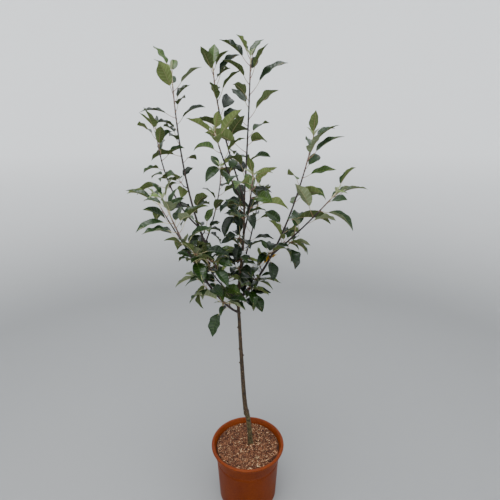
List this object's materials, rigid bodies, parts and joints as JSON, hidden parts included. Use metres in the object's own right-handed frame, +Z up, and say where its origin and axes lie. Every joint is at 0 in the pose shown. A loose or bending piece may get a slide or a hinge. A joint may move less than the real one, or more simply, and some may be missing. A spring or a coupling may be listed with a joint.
{
  "type": "dwarf apple tree in pot",
  "caption": "Young grafted dwarf apple tree with an open crown of upright leafy shoots and short spurs on a clear stem, standing in a round plastic pot of compost.",
  "frame": {"origin": "centre of the pot's flat underside", "axes": "+Z up the tree, +X towards the tree's right as it is faced, +Y towards its back"},
  "size_m": [0.753, 0.5405, 1.7144],
  "materials": {
    "pot_plastic": "satin",
    "compost": "matte",
    "bark": "matte",
    "foliage": "satin",
    "label_plastic": "satin"
  },
  "bodies": {
    "root": {"pot": "pot_plastic", "compost": "compost", "trunk": "bark", "label": "label_plastic", "back_bough": "bark", "back_left_bough": "bark", "far_left_bough": "bark", "far_right_bough": "bark", "front_bough": "bark", "low_left_bough": "bark", "mid_left_bough": "bark", "right_bough": "bark", "tall_left_bough": "bark", "top_back_bough": "bark", "top_front_bough": "bark", "back_left_shoot": "foliage", "back_shoot": "foliage", "far_left_shoot": "foliage", "far_right_shoot": "foliage", "front_shoot": "foliage", "leader_shoot": "foliage", "left_side_shoot": "foliage", "low_left_shoot": "foliage", "mid_left_shoot": "foliage", "right_shoot": "foliage", "tall_left_shoot": "foliage", "top_back_shoot": "foliage", "top_front_shoot": "foliage", "back_spur_1": "foliage", "far_right_spur_1": "foliage", "front_spur_1": "foliage", "low_left_spur_1": "foliage", "low_left_spur_2": "foliage", "low_left_spur_3": "foliage", "low_left_spur_4": "foliage", "low_left_spur_5": "foliage", "low_left_spur_6": "foliage", "low_left_spur_7": "foliage", "low_left_spur_8": "foliage", "low_left_spur_9": "foliage", "right_spur_1": "foliage", "right_spur_2": "foliage", "right_spur_3": "foliage", "right_spur_4": "foliage", "right_spur_5": "foliage", "tall_left_spur_1": "foliage", "tall_left_spur_2": "foliage", "tall_left_spur_3": "foliage", "tall_left_spur_4": "foliage", "tall_left_spur_5": "foliage", "tall_left_spur_6": "foliage", "trunk_spur_1": "foliage", "trunk_spur_2": "foliage", "trunk_spur_3": "foliage", "trunk_spur_4": "foliage", "trunk_spur_5": "foliage", "trunk_spur_6": "foliage", "trunk_spur_7": "foliage"}
  },
  "joints": []
}
